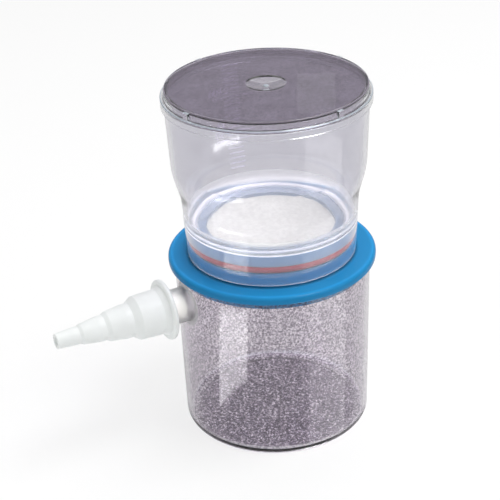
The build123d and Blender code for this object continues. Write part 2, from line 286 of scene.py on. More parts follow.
def placed(name, data):
    """A new object in the scene."""
    thing = bpy.data.objects.new(name, data)
    bpy.context.scene.collection.objects.link(thing)
    return thing


def smoothed(name, data):
    """A new object from mesh data, smooth, with its sharp corners kept."""
    data.shade_smooth()
    data.set_sharp_from_angle(angle=SHARP)
    return placed(name, data)


def mesh_data(name, mesh):
    """The mesh data of a bmesh, which is freed."""
    data = bpy.data.meshes.new(name)
    mesh.to_mesh(data)
    mesh.free()
    return data


def as_object(name, mesh):
    """A new, smooth object from a bmesh."""
    return smoothed(name, mesh_data(name, mesh))


def plain_mesh(holder):
    """The plain mesh of an object with its modifiers; the object and they go."""
    graph = bpy.context.evaluated_depsgraph_get()
    data = bpy.data.meshes.new_from_object(holder.evaluated_get(graph), depsgraph=graph)
    bpy.data.objects.remove(holder)
    return data


def finish_piece(piece, body, material, slot_name, *nodes):
    """Gives a piece its material, its body and the frame's nodes that it stands for."""
    piece.data.materials.clear()
    piece.data.materials.append(material)
    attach(piece, body)
    if nodes:
        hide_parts(*nodes)
    return piece


def add(tree, kind, inputs=None, **settings):
    """Adds a node with its settings.

    An input given a node is linked to that node's first live output, one given a socket
    is linked to it, and any other is set. A named input is the live one of that name.
    """
    node = tree.nodes.new(kind)
    for key, value in settings.items():
        setattr(node, key, value)
    for key, value in (inputs or {}).items():
        if isinstance(key, str):
            socket = next(s for s in node.inputs if s.name == key and s.enabled)
        else:
            socket = node.inputs[key]
        if isinstance(value, bpy.types.Node):
            value = next(s for s in value.outputs if s.enabled)
        if isinstance(value, bpy.types.NodeSocket):
            tree.links.new(value, socket)
        else:
            socket.default_value = value
    return node


def geometry_tree(name, **inputs):
    """A new geometry tree with named inputs, its adder of nodes, and its input sockets."""
    tree = bpy.data.node_groups.new(name, "GeometryNodeTree")
    tree.interface.new_socket("Geometry", in_out="INPUT", socket_type="NodeSocketGeometry")
    for label, kind in {**inputs, "material": "Material"}.items():
        tree.interface.new_socket(
            label.replace("_", " ").capitalize(), in_out="INPUT",
            socket_type=f"NodeSocket{kind}")
    tree.interface.new_socket("Geometry", in_out="OUTPUT", socket_type="NodeSocketGeometry")
    node = partial(add, tree)
    return tree, node, node("NodeGroupInput").outputs


def ended(tree, given, shape):
    """The geometry tree, ended with a shape made real, in the given material."""
    dressed = add(tree, "GeometryNodeSetMaterial", {
        "Geometry": shape, "Material": given["Material"]})
    add(tree, "NodeGroupOutput", {0: dressed})
    return tree


def grown(name, tree, start, **inputs):
    """The plain mesh that a geometry tree makes from a start mesh, as a new object."""
    holder = placed(name, start)
    modifier = holder.modifiers.new("Grown", "NODES")
    modifier.node_group = tree
    values = {label.replace("_", " ").capitalize(): value for label, value in inputs.items()}
    for socket in tree.interface.items_tree:
        if socket.in_out == "INPUT" and socket.name in values:
            modifier[socket.identifier] = values.pop(socket.name)
    if values:
        raise RuntimeError(f"{name}: the tree has no inputs {sorted(values)}")
    data = plain_mesh(holder)
    if not data.polygons:
        raise RuntimeError(f"{name}: the tree made nothing")
    return smoothed(name, data)


def ring_tree():
    """Copies of a start mesh round Z."""
    tree, node, given = geometry_tree("Ring of copies", count="Int", first_angle="Float")
    spots = node("GeometryNodePoints", {"Count": given["Count"]})
    step = node("ShaderNodeMath", {0: 2 * pi, 1: given["Count"]}, operation="DIVIDE")
    turn = node("ShaderNodeMath", {
        0: node("GeometryNodeInputIndex"), 1: step, 2: given["First angle"]},
        operation="MULTIPLY_ADD")
    copies = node("GeometryNodeInstanceOnPoints", {
        "Points": spots, "Instance": given["Geometry"],
        "Rotation": node("ShaderNodeCombineXYZ", {"Z": turn})})
    return ended(tree, given, node("GeometryNodeRealizeInstances", {0: copies}))


def marks_tree():
    """A bar on each start point, wrapped round the wall.

    Each point stands at angle 0 and its mark's height, and carries the wall's radius and
    the mark's length.
    """
    tree, node, given = geometry_tree(
        "Scale marks", line_width="Float", relief="Float", angle="Float")
    bar = node("GeometryNodeMeshCube", {
        "Size": (1.0, 1.0, 1.0), "Vertices X": 2, "Vertices Y": 12, "Vertices Z": 2})
    reach, wall = (
        node("GeometryNodeInputNamedAttribute", {"Name": name}, data_type="FLOAT")
        for name in ("length", "radius"))
    size = node("ShaderNodeCombineXYZ", {
        "X": given["Relief"], "Y": reach, "Z": given["Line width"]})
    copies = node("GeometryNodeInstanceOnPoints", {
        "Points": given["Geometry"], "Instance": bar, "Scale": size})
    real = node("GeometryNodeRealizeInstances", {0: copies})
    place = node("ShaderNodeSeparateXYZ", {0: node("GeometryNodeInputPosition")}).outputs
    turn = node("ShaderNodeMath", {0: place["Y"], 1: wall}, operation="DIVIDE")
    turn = node("ShaderNodeMath", {0: turn, 1: given["Angle"]}, operation="ADD")
    flat = node("ShaderNodeCombineXYZ", {"X": place["X"], "Z": place["Z"]})
    along = node("ShaderNodeVectorRotate", {"Vector": flat, "Angle": turn},
                 rotation_type="Z_AXIS")
    return ended(tree, given, node("GeometryNodeSetPosition", {
        "Geometry": real, "Position": along}))


def fibres_tree():
    """Short curled fibres scattered over a start mesh."""
    tree, node, given = geometry_tree("Loose fibres", density="Float", fibre="Object")
    spots = node("GeometryNodeDistributePointsOnFaces", {
        "Mesh": given["Geometry"], "Density": given["Density"], "Seed": 7})
    turn = node("FunctionNodeRandomValue", {
        0: (0.0, 0.0, 0.0), 1: (2 * pi, 2 * pi, 2 * pi), "Seed": 3},
        data_type="FLOAT_VECTOR")
    one = node("GeometryNodeObjectInfo", {"Object": given["Fibre"]})
    copies = node("GeometryNodeInstanceOnPoints", {
        "Points": spots, "Instance": one.outputs["Geometry"], "Rotation": turn})
    return ended(tree, given, node("GeometryNodeRealizeInstances", {0: copies}))


def box_mesh(name, low, high, edge):
    """A box between two corners with rounded edges."""
    mesh = bmesh.new()
    bmesh.ops.create_cube(mesh, size=1.0)
    centre, size = (Vector(low) + Vector(high)) / 2, Vector(high) - Vector(low)
    for vert in mesh.verts:
        vert.co = centre + Vector(c * s for c, s in zip(vert.co, size))
    bmesh.ops.bevel(mesh, geom=mesh.edges[:], offset=edge, segments=2, profile=0.5,
                    affect="EDGES")
    return mesh_data(name, mesh)


# ---- Materials ----
def per_mm(size_mm):
    """Texture scale on Object coordinates for a pattern of that size in millimetres."""
    return 1.0 / (size_mm * MM)


def toned(base, factor):
    """The base colour made lighter or darker."""
    return [min(1.0, c * factor) for c in base[:3]] + [1.0]


def blank(name):
    """A new material, its adder of nodes and its Object coordinates."""
    material = bpy.data.materials.new(name)
    material.use_nodes = True
    material.node_tree.nodes.clear()
    node = partial(add, material.node_tree)
    return material, node, node("ShaderNodeTexCoord").outputs["Object"]


def axis_distance(node, place):
    """How far each point is from the unit's axis."""
    flat = node("ShaderNodeVectorMath", {0: place, 1: (1.0, 1.0, 0.0)}, operation="MULTIPLY")
    return node("ShaderNodeVectorMath", {0: flat}, operation="LENGTH")


def clear_polystyrene(name, base, lamp_tint, clear=1.0, rough=0.01, glow=0.0, cast=0.06,
                      flow_mm=0.012, grain=0.0, edge=None, floor=None, joint=None):
    """General-purpose polystyrene, injection moulded against a polished tool.

    Glass-clear with a faint smoky lilac cast and a high index, so its edges are bright;
    slow flow waves bend what is seen through it, and handling leaves faint scuffs. Less
    clear, it is milky, as a matt part of the tool leaves it.

    edge is a colour that takes over between two radii, floor the colour of the painted
    shade on a cup's floor with the floor's height and outer radius, and joint the centre
    and reach of a tube's joint, which is painted milky white. glow is a painted glow, a
    constant emission, though the piece is no lamp.
    """
    material, node, place = blank(name)
    waves = node("ShaderNodeTexNoise", {"Vector": place, "Scale": per_mm(9.0), "Detail": 1.0})
    scuffs = node("ShaderNodeTexNoise", {"Vector": place, "Scale": per_mm(1.4), "Detail": 3.0})
    relief = node("ShaderNodeBump", {"Height": waves, "Strength": 0.5, "Distance": flow_mm * MM})
    polish = node("ShaderNodeMapRange", {
        "Value": scuffs, "From Min": 0.35, "From Max": 0.7, "To Min": rough,
        "To Max": rough + 0.035})
    tint = node("ShaderNodeMix", {
        "Factor": waves, "A": toned(base, 1 - cast), "B": toned(base, 1 + cast)},
        data_type="RGBA")
    painted_mirror, radius, zones = 0.0, axis_distance(node, place), []
    if grain:
        # a spark-eroded tool leaves a fine grain; drawn at 0.8 mm so that it can be seen
        specks = node("ShaderNodeTexNoise", {
            "Vector": place, "Scale": per_mm(0.8), "Detail": 2.0, "Roughness": 0.7})
        amount = node("ShaderNodeMapRange", {
            "Value": specks, "From Min": 0.51, "From Max": 0.58, "To Max": grain})
        tint = node("ShaderNodeMix", {
            "Factor": amount, "A": tint, "B": linear("#7d7583")},
            data_type="RGBA", blend_type="MULTIPLY")
    if edge:
        edge_colour, edge_from, edge_to = edge
        share = node("ShaderNodeMapRange", {
            "Value": radius, "From Min": edge_from, "From Max": edge_to})
        tint = node("ShaderNodeMix", {"Factor": share, "A": tint, "B": edge_colour},
                    data_type="RGBA")
    if floor:
        # painted shade: the floor is darkened in its grain, but for the gate's mark, for the
        # shade under the cup; a painted highlight draws a white, mirror-like line where it meets
        # the wall, and painted light makes its foot pale and part mirror
        floor_shade_colour, floor_z, floor_r = floor
        height = node("ShaderNodeSeparateXYZ", {0: place}).outputs["Z"]
        pits = node("ShaderNodeTexNoise", {
            "Vector": place, "Scale": per_mm(0.9), "Detail": 2.0, "Roughness": 0.7})
        off_line = [
            node("ShaderNodeMath", {
                0: node("ShaderNodeMath", {0: value, 1: middle}, operation="SUBTRACT")},
                operation="ABSOLUTE")
            for value, middle in ((height, floor_z + 0.4 * MM), (radius, floor_r))]
        off_line = node("ShaderNodeMath", {0: off_line[0], 1: off_line[1]}, operation="MAXIMUM")
        low, gate, pitted, painted_line, outside, painted_foot = (
            node("ShaderNodeMapRange", {"Value": value, "From Min": none, "From Max": full})
            for value, none, full in (
                (height, floor_z + 0.35 * MM, floor_z + 0.15 * MM),
                (radius, 0.7 * MM, 1.3 * MM),
                (pits, 0.475, 0.55),
                (off_line, 0.8 * MM, 0.6 * MM),
                (radius, floor_r - 2.5 * MM, floor_r - 1.5 * MM),
                (height, 2.0 * MM, 1.2 * MM)))
        for factor in (gate, pitted):
            low = node("ShaderNodeMath", {0: low, 1: factor}, operation="MULTIPLY")
        tint = node("ShaderNodeMix", {"Factor": low, "A": tint, "B": floor_shade_colour},
                    data_type="RGBA", blend_type="MULTIPLY")
        painted_foot = node("ShaderNodeMath", {0: outside, 1: painted_foot}, operation="MULTIPLY")
        painted_mirror = node("ShaderNodeMath", {0: painted_foot, 1: 0.5}, operation="MULTIPLY")
        painted_mirror = node("ShaderNodeMath", {0: painted_line, 1: painted_mirror}, operation="MAXIMUM")
        # the white line is a painted highlight and the pale, part mirror foot is painted light
        zones += [(painted_line, "#ffffff", 0.5), (painted_foot, "#f4f0f6", 0.4)]
    if joint:
        # painted light: where a tube joins the wall the joint is milky white and rough, which
        # lifts the dark rings that refraction gives there
        centre, joint_r = joint
        reach = node("ShaderNodeVectorMath", {0: place, 1: centre}, operation="DISTANCE")
        share = node("ShaderNodeMapRange", {
            "Value": reach, "From Min": joint_r, "From Max": joint_r - MM})
        zones.append((share, "#ffffff", 0.4))
    for share, zone_colour, zone_rough in zones:
        tint = node("ShaderNodeMix", {
            "Factor": share, "A": tint, "B": linear(zone_colour)}, data_type="RGBA")
        polish = node("ShaderNodeMix", {"Factor": share, "A": polish, "B": zone_rough})
    surface = node("ShaderNodeBsdfPrincipled", {
        "Base Color": tint, "Normal": relief, "Roughness": polish, "Metallic": painted_mirror,
        "IOR": POLYSTYRENE, "Transmission Weight": clear, "Emission Color": tuple(base),
        "Emission Strength": glow})
    lamp_path = node("ShaderNodeBsdfTransparent", {"Color": linear(lamp_tint)})
    path = node("ShaderNodeLightPath").outputs
    both = node("ShaderNodeMixShader", {0: path["Is Shadow Ray"], 1: surface, 2: lamp_path})
    node("ShaderNodeOutputMaterial", {"Surface": both})
    return material


def matt_polystyrene(part, base, clear, rough, glow=0.0):
    """Polystyrene moulded against a matt part of the tool, which leaves it milky.

    glow is a painted glow: a constant emission, though the part is no lamp; the milky white of
    these parts is partly painted light too, for light caught inside the clear wall.
    """
    return clear_polystyrene(
        f"Matt moulded polystyrene, {part}", base, "#f4f3f5", clear=clear, rough=rough,
        glow=glow)


def moulded_plastic(name, base, cloud_mm, satin_mm, rough, index, soft, soft_radius,
                    shine=0.5, glow=0.0, flange=None):
    """An opaque plastic, injection moulded against a tool with a satin finish.

    Pigment drifts a little over the piece, the satin skin breaks up its shine, and light
    goes a short way in, which softens the edges. A flange, given as its root and outer
    radius and its top, gets painted shade at its root and on its side and a painted
    highlight on its rounded edge. glow is a painted glow, a constant emission, though the
    piece is no lamp.
    """
    material, node, place = blank(name)
    cloud = node("ShaderNodeTexNoise", {
        "Vector": place, "Scale": per_mm(cloud_mm), "Detail": 2.0})
    satin = node("ShaderNodeTexNoise", {
        "Vector": place, "Scale": per_mm(satin_mm), "Detail": 3.0, "Roughness": 0.6})
    tone = node("ShaderNodeMix", {
        "Factor": cloud, "A": toned(base, 0.93), "B": toned(base, 1.07)}, data_type="RGBA")
    # painted shade and highlight: the colour is scaled by 0.31 at the boss's root, about 0.95
    # over the flat, 1.25 on the rounded top edge and 0.85 on the side; on the boss above it
    # stays 1.0
    if flange:
        root_r, rim_r, top_z = flange
        share = node("ShaderNodeMapRange", {
            "Value": axis_distance(node, place), "From Min": root_r, "From Max": rim_r})
        painted_light_and_shade = node("ShaderNodeValToRGB", {0: share})
        stops = painted_light_and_shade.color_ramp.elements
        for k, (position, level) in enumerate((
                (0.0, 0.25), (1.0, 0.68), (0.17, 0.75), (0.7, 0.78), (0.83, 1.0),
                (0.95, 0.76))):
            stop = stops[k] if k < 2 else stops.new(position)
            stop.color = (level, level, level, 1.0)
        height = node("ShaderNodeSeparateXYZ", {0: place}).outputs["Z"]
        above = node("ShaderNodeMapRange", {
            "Value": height, "From Min": top_z, "From Max": top_z + 0.3 * MM, "To Max": 0.8})
        painted_light_and_shade = node("ShaderNodeMath", {0: painted_light_and_shade, 1: above}, operation="MAXIMUM")
        painted_light_and_shade = node("ShaderNodeMath", {0: painted_light_and_shade, 1: 1.25}, operation="MULTIPLY")
        tone = node("ShaderNodeVectorMath", {0: tone, "Scale": painted_light_and_shade}, operation="SCALE")
    polish = node("ShaderNodeMapRange", {
        "Value": satin, "From Min": 0.3, "From Max": 0.7, "To Min": rough - 0.06,
        "To Max": rough + 0.08})
    relief = node("ShaderNodeBump", {"Height": satin, "Strength": 0.3, "Distance": 0.015 * MM})
    plastic = node("ShaderNodeBsdfPrincipled", {
        "Base Color": tone, "Roughness": polish, "Normal": relief, "IOR": index,
        "Specular IOR Level": shine, "Subsurface Weight": soft,
        "Subsurface Radius": soft_radius, "Subsurface Scale": 0.0012,
        "Emission Color": tuple(base), "Emission Strength": glow})
    node("ShaderNodeOutputMaterial", {"Surface": plastic})
    return material


def frosted_lines(base):
    """Raised lines from a spark-eroded part of the tool.

    Their glow is painted: a constant emission makes them read paler than the wall, though
    they are no lamp.
    """
    material, node, place = blank("Raised frosted polystyrene lines")
    frost = node("ShaderNodeTexNoise", {"Vector": place, "Scale": per_mm(0.3), "Detail": 2.0})
    tone = node("ShaderNodeMix", {
        "Factor": frost, "A": toned(base, 0.9), "B": toned(base, 1.08)}, data_type="RGBA")
    # Emission Strength 0.8 is a painted glow
    surface = node("ShaderNodeBsdfPrincipled", {
        "Base Color": tone, "Roughness": 0.55, "IOR": POLYSTYRENE,
        "Emission Color": tuple(base), "Emission Strength": 0.8})
    node("ShaderNodeOutputMaterial", {"Surface": surface})
    return material


def cast_membrane(base):
    """Mixed cellulose ester, cast as a film; dead white and matt.

    The fibre pad under it shows through as a waffle, drawn at 1.1 mm so that it can be
    seen.
    """
    material, node, place = blank("Cast cellulose ester membrane")
    waffle = node("ShaderNodeTexVoronoi", {
        "Vector": place, "Scale": per_mm(1.1), "Randomness": 0.35})
    mottle = node("ShaderNodeTexNoise", {
        "Vector": place, "Scale": per_mm(1.6), "Detail": 3.0, "Roughness": 0.6})
    amount = node("ShaderNodeMapRange", {"Value": mottle, "From Min": 0.35, "From Max": 0.65})
    tone = node("ShaderNodeMix", {
        "Factor": amount, "A": toned(base, 0.9), "B": toned(base, 1.03)}, data_type="RGBA")
    slow = node("ShaderNodeBump", {"Height": mottle, "Strength": 0.4, "Distance": 0.08 * MM})
    relief = node("ShaderNodeBump", {
        "Height": waffle, "Strength": 0.6, "Distance": 0.12 * MM, "Normal": slow})
    film = node("ShaderNodeBsdfPrincipled", {
        "Base Color": tone, "Normal": relief, "IOR": 1.5, "Roughness": 0.75,
        "Specular IOR Level": 0.3})
    node("ShaderNodeOutputMaterial", {"Surface": film})
    return material


def pressed_fibre(name, base, fibre_mm, depth_mm, glow=0.0):
    """Short plant fibres pressed into a sheet or a wad; soft, matt and broken by shadow.

    A fluffy wad is given a painted glow, a small constant emission, in place of the light
    that loose fibres pass on among themselves.
    """
    material, node, place = blank(name)
    stretched = node("ShaderNodeMapping", {"Vector": place, "Scale": (1.0, 0.28, 1.0)})
    fibres = node("ShaderNodeTexNoise", {
        "Vector": stretched, "Scale": per_mm(fibre_mm), "Detail": 5.0, "Roughness": 0.7})
    clumps = node("ShaderNodeTexNoise", {
        "Vector": place, "Scale": per_mm(fibre_mm * 6), "Detail": 2.0})
    amount = node("ShaderNodeMapRange", {"Value": fibres, "From Min": 0.35, "From Max": 0.6})
    tone = node("ShaderNodeMix", {
        "Factor": amount, "A": toned(base, 0.86), "B": toned(base, 1.02)}, data_type="RGBA")
    slow = node("ShaderNodeBump", {"Height": clumps, "Strength": 0.5, "Distance": depth_mm * MM})
    relief = node("ShaderNodeBump", {
        "Height": fibres, "Strength": 0.6, "Distance": depth_mm * MM, "Normal": slow})
    wad = node("ShaderNodeBsdfPrincipled", {
        "Base Color": tone, "Normal": relief, "IOR": 1.5, "Roughness": 0.9,
        "Specular IOR Level": 0.2, "Sheen Weight": 0.3, "Emission Color": tuple(base),
        "Emission Strength": glow})
    node("ShaderNodeOutputMaterial", {"Surface": wad})
    return material


# ---- Operators ----
class FILTRATION_OT_receiver(bpy.types.Operator):
    """Finish the clear receiver cup with its side port"""
    bl_idname = "filtration.receiver"
    bl_label = "Receiver"

    def execute(self, context):
        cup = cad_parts["receiver"]
        colours = settings().finish
        joint = Vector((-RIM_R - 5 * MM, 0, PORT_Z))
        joint_reach = 10.5 * MM
        cup.data.materials.clear()
        cup.data.materials.append(clear_polystyrene(
            "Polished moulded polystyrene, receiver", colours.receiver, "#eeebf0", grain=0.85,
            edge=(tuple(colours.port), RIM_R + 0.3 * MM, RIM_R + 1.2 * MM),
            # 5e5168 is the painted shade on the receiver's floor
            floor=(linear("#5e5168"), RECEIVER_FLOOR_Z, RECEIVER_FLOOR_R),
            joint=(joint, joint_reach)))
        return {"FINISHED"}


def funnel_outline(sizes):
    """The funnel's wall, skirt and clamping lip, as rounded (radius, height) points."""
    skirt_z, rim_z = CHAMBER[0].z, CHAMBER[1].z
    skirt_r = BORE_R + sizes.wall
    low_z = skirt_z + sizes.lower_height
    low_r = skirt_r + sizes.lower_flare
    high_z = low_z + sizes.shoulder_height
    high_r = low_r + sizes.shoulder_step
    rim_r = high_r + sizes.upper_flare
    mouth_r = MEMBRANE[1].x - sizes.clamp_overlap
    clamp_z = MEMBRANE[1].z + SEAT_GAP
    slot_r = BORE_R - SKIRT_GAP - settings().collar.rim_wall - SIDE_GAP
    slot_z = COLLAR[1].z + SEAT_GAP
    lip_z = clamp_z + sizes.clamp_lip
    slope = tan(sizes.clamp_slope)
    meet_z = lip_z + (BORE_R - mouth_r) * slope
    meet_r = BORE_R + sizes.lower_flare * (meet_z - skirt_z) / sizes.lower_height
    meet_z = lip_z + (meet_r - mouth_r) * slope
    edge, soft = 0.4 * MM, 0.15 * MM
    return rounded([
        (skirt_r, skirt_z, edge),
        (low_r, low_z, sizes.shoulder_fillet),
        (high_r, high_z, sizes.shoulder_fillet),
        (rim_r, rim_z, edge),
        (rim_r - sizes.wall, rim_z, edge),
        (high_r - sizes.wall, high_z, sizes.shoulder_fillet),
        (low_r - sizes.wall, low_z, sizes.shoulder_fillet),
        (meet_r, meet_z, sizes.floor_fillet),
        (mouth_r, lip_z, soft),
        (mouth_r, clamp_z, soft),
        (slot_r, clamp_z, soft),
        (slot_r, slot_z, soft),
        (BORE_R, slot_z, soft),
        (BORE_R, SEAL[1].z),
        (BORE_R, skirt_z, soft),
    ])


def funnel_part(radius, height, faces_up, wall):
    """Index of the funnel's material at a face."""
    polished, floor, edges, upper_bore, lower_bore, lip = range(6)
    slot_z, clamp_z = COLLAR[1].z + SEAT_GAP, MEMBRANE[1].z
    if height < CHAMBER[0].z + wall * 0.3:
        return lower_bore
    if radius < BORE_R + wall * 0.3 and height < slot_z + 0.1 * MM:
        under = radius < BORE_R - 0.1 * MM and height > clamp_z
        if under and height < clamp_z + 0.2 * MM:
            return floor
        if faces_up:
            return lower_bore
        if under:
            return floor if radius < MEMBRANE[1].x else edges
        return upper_bore if height > SEAL[1].z else lower_bore
    if radius < BORE_R + wall * 0.7 and height < clamp_z + 8 * MM:
        return lip
    return polished


class FILTRATION_OT_funnel(bpy.types.Operator):
    """Build the clear upper chamber with its skirt and clamping lip"""
    bl_idname = "filtration.funnel"
    bl_label = "Funnel"

    def execute(self, context):
        sizes, colours = settings().funnel, settings().finish
        piece = turned("funnel_wall", funnel_outline(sizes))
        finish_piece(
            piece, "funnel",
            clear_polystyrene("Polished moulded polystyrene, funnel", colours.funnel, "#dedce1"),
            "clear_polystyrene", "upper_chamber")
        # in the order of funnel_part, after the polished wall; their milky white and glow are
        # partly painted light
        for part, base, clear, rough, glow in (
                ("floor", toned(colours.matt, 0.62), 0.7, 0.3, 0.0),
                ("edges", colours.port, 0.3, 0.3, 0.14),
                ("upper bore", colours.matt, 0.6, 0.15, 0.04),
                ("lower bore", colours.matt, 0.84, 0.12, 0.02),
                ("lip", colours.port, 0.88, 0.3, 0.1)):
            piece.data.materials.append(
                matt_polystyrene(f"funnel {part}", base, clear, rough, glow))
        for face in piece.data.polygons:
            face.material_index = funnel_part(
                face.center.xy.length, face.center.z, face.normal.z > 0.5, sizes.wall)
        return {"FINISHED"}


def radius_at(path, height):
    """Radius of a (radius, height) path at a height."""
    for one, other in zip(path, path[1:]):
        low, high = sorted((one, other), key=lambda point: point.y)
        if low.y <= height <= high.y and high.y > low.y:
            return low.x + (high.x - low.x) * (height - low.y) / (high.y - low.y)
    raise ValueError(f"the wall doesn't reach {height:.4f} m")


def fill_heights(path, levels_ml):
    """Liquid height over the membrane for each volume, in millilitres."""
    heights, volume, slice_height = [], 0.0, 0.02 * MM
    height = path[-1].y
    for level in levels_ml:
        while volume < level:
            height += slice_height
            volume += pi * radius_at(path, height) ** 2 * slice_height * 1e6
        heights.append(height)
    return heights


def figure_mesh(text, height, relief):
    """The mesh of a figure, upright in X and Y and centred on the origin."""
    curve = bpy.data.curves.new("figure", "FONT")
    curve.body, curve.size, curve.extrude = text, height * 1.4, relief
    curve.align_x, curve.align_y, curve.resolution_u = "CENTER", "CENTER", 3
    return plain_mesh(placed("figure", curve))


class FILTRATION_OT_scale(bpy.types.Operator):
    """Build the raised millilitre marks and figures on the funnel's wall"""
    bl_idname = "filtration.scale"
    bl_label = "Scale"

    def execute(self, context):
        sizes = settings().scale
        outline = funnel_outline(settings().funnel)
        tops = [k for k, point in enumerate(outline) if point.y > CHAMBER[1].z - 0.01 * MM]
        outer = outline[:tops[0]]
        lip_top = MEMBRANE[1].z + SEAT_GAP + settings().funnel.clamp_lip
        inner = []
        for point in outline[tops[-1]:]:
            inner.append(point)
            if point.y < lip_top + 0.05 * MM:
                break
        levels = list(range(sizes.first_ml, sizes.last_ml + 1, sizes.step_ml))
        heights = fill_heights(inner, levels)
        material = frosted_lines(settings().finish.marks)
        start = bpy.data.meshes.new("marks_start")
        start.from_pydata([(0, 0, height) for height in heights], [], [])
        wide, wall = (
            start.attributes.new(name, "FLOAT", "POINT") for name in ("length", "radius"))
        gap = 0.01 * MM + sizes.mark_relief / 2
        figures_angle = sizes.angle + radians(10.5)
        for k, (level, height) in enumerate(zip(levels, heights)):
            wide.data[k].value = sizes.long_width if level % 50 == 0 else sizes.mark_width
            radius = radius_at(outer, height) + gap
            wall.data[k].value = radius
            start.vertices[k].co.x = radius
        marks = grown(
            "scale_marks", marks_tree(), start, line_width=sizes.mark_height,
            relief=sizes.mark_relief, angle=sizes.angle, material=material)
        finish_piece(marks, "funnel", material, "clear_polystyrene")
        figures = bmesh.new()
        for level, height in zip(levels, heights):
            if level % 50:
                continue
            mesh = figure_mesh(str(level), sizes.figure_height, sizes.mark_relief / 2)
            base = height + sizes.figure_height * 0.75
            for vert in mesh.vertices:
                high = base + vert.co.y
                radius = radius_at(outer, high) + gap
                turn = figures_angle + vert.co.x / radius
                reach = radius + vert.co.z
                vert.co = (reach * cos(turn), reach * sin(turn), high)
            figures.from_mesh(mesh)
        bmesh.ops.remove_doubles(figures, verts=figures.verts, dist=1e-6)
        bmesh.ops.recalc_face_normals(figures, faces=figures.faces)
        piece = as_object("scale_figures", figures)
        finish_piece(piece, "funnel", material, "clear_polystyrene")
        return {"FINISHED"}


class FILTRATION_OT_lid(bpy.types.Operator):
    """Build the lid with its dimple, gate mark, ledge and lugs"""
    bl_idname = "filtration.lid"
    bl_label = "Lid"

    def execute(self, context):
        sizes = settings().lid
        colours = settings().finish
        skirt_z, top_z, lid_r = LID[0].z, LID[1].z, LID[1].x
        bore_r = lid_r - sizes.wall
        ledge_z = top_z - sizes.rise
        raised_r = lid_r - sizes.shoulder
        under_z = top_z - sizes.top
        ledge_under_z = ledge_z - sizes.ledge
        inner_r = raised_r - sizes.top
        edge, fine = 0.45 * MM, 0.12 * MM
        dish_r = (sizes.dimple_radius ** 2 + sizes.dimple_depth ** 2) / (2 * sizes.dimple_depth)
        reach, steps = asin(sizes.dimple_radius / dish_r), 14
        dish = [
            (dish_r * sin(reach * k / steps), dish_r * (1 - cos(reach * k / steps)))
            for k in range(steps + 1)]
        dimple_z = top_z - sizes.dimple_depth
        gate_top = dimple_z + sizes.gate_height
        upper = [Vector((r, dimple_z + h)) for r, h in dish if r > sizes.gate_radius * 1.25]
        lower = [Vector((r, dimple_z + h - sizes.top)) for r, h in dish]
        gate = [Vector((sizes.gate_radius * share, height)) for share, height in (
            (0.0, gate_top), (0.7, gate_top), (0.9, gate_top - 0.06 * MM),
            (1.0, gate_top - 0.2 * MM), (1.04, dimple_z + 0.06 * MM))]
        body = rounded([
            (raised_r, top_z, edge),
            (raised_r + 0.15 * MM, ledge_z, fine),
            (lid_r, ledge_z, edge),
            (lid_r, skirt_z, fine),
            (bore_r, skirt_z, fine),
            (bore_r, ledge_under_z, fine),
            (inner_r, ledge_under_z, fine),
            (inner_r, under_z, fine),
            (sizes.dimple_radius + 0.2 * MM, under_z),
            (sizes.dimple_radius + 0.2 * MM, top_z),
        ])[:-2]
        beside = sizes.dimple_radius + GUARD
        piece = turned("lid_cover", [
            *gate, *upper, Vector((beside, top_z)), *body, Vector((beside, under_z)),
            *lower[::-1]])
        half = sizes.lug_width / 2
        lug = box_mesh(
            "lug_start", (raised_r - 0.6 * MM, -half, ledge_z - 0.3 * MM),
            (lid_r - edge, half, top_z - sizes.lug_drop), 0.18 * MM)
        # the smoky dark of the raised top is painted shade; past raised_r the colour turns clear
        material = clear_polystyrene(
            "Smoky moulded polystyrene, lid", colours.lid, "#f8f7f9", grain=0.4, cast=0.18,
            flow_mm=0.03,
            edge=(tuple(colours.port), raised_r - 0.6 * MM, raised_r + 0.2 * MM))
        lugs = grown("lugs", ring_tree(), lug, count=sizes.lug_count,
                     first_angle=sizes.lug_angle, material=material)
        join = piece.modifiers.new("Lugs", "BOOLEAN")
        join.operation, join.solver, join.object = "UNION", "EXACT", lugs
        data = plain_mesh(piece)
        bpy.data.objects.remove(lugs)
        piece = finish_piece(
            smoothed("lid_cover", data), "cover", material, "clear_polystyrene", "lid")
        # after the smoky cover, whose dark is painted shade: the milky edge of the ledge, which
        # with the lugs' tops makes painted glints, the paler shoulder of the raised top, and the
        # clear dimple, whose paler tint is a painted highlight
        for extra in (
                matt_polystyrene("lid edge", colours.matt, 0.66, 0.3),
                matt_polystyrene("lid shoulder", toned(colours.lid, 1.3), 0.66, 0.3),
                clear_polystyrene("Polished moulded polystyrene, lid dimple",
                                  toned(colours.port, 0.68), "#f8f7f9")):
            piece.data.materials.append(extra)
        smoky, milky, shoulder, dimple = range(4)
        for face in piece.data.polygons:
            radius, height = face.center.xy.length, face.center.z
            part = smoky
            # the milky ledge edge and lug tops are painted glints; the gate's mark is matt
            if radius > lid_r - edge and ledge_z - edge < height < ledge_z + 0.1 * MM:
                part = milky
            elif radius > raised_r + 0.2 * MM and height > top_z - sizes.lug_drop - 0.4 * MM:
                part = milky
            elif abs(radius - raised_r) < edge and top_z - edge < height < top_z - 0.02 * MM:
                part = shoulder
            elif radius < sizes.gate_radius * 1.2 and height > dimple_z - sizes.gate_height:
                part = milky
            # the dimple's paler tint is a painted highlight
            elif radius < sizes.dimple_radius and face.normal.z > 0.5:
                part = dimple
            face.material_index = part
        return {"FINISHED"}


def collar_levels(sizes):
    """Heights and radii of the collar that its pieces share."""
    land_z = COLLAR[1].z - sizes.rim_height
    ledge_z, ledge_depth, ledge_width = PAD[0].z - PLATE_THICKNESS, 1.6 * MM, 3.0 * MM
    recess_r = PAD[1].x + 0.2 * MM
    return {
        "land": land_z,
        "flange": land_z - sizes.boss_height - sizes.flange_thickness,
        "ledge": ledge_z,
        "drain_edge": ledge_z - ledge_depth,
        "recess_r": recess_r,
        "drain_r": recess_r - ledge_width,
    }


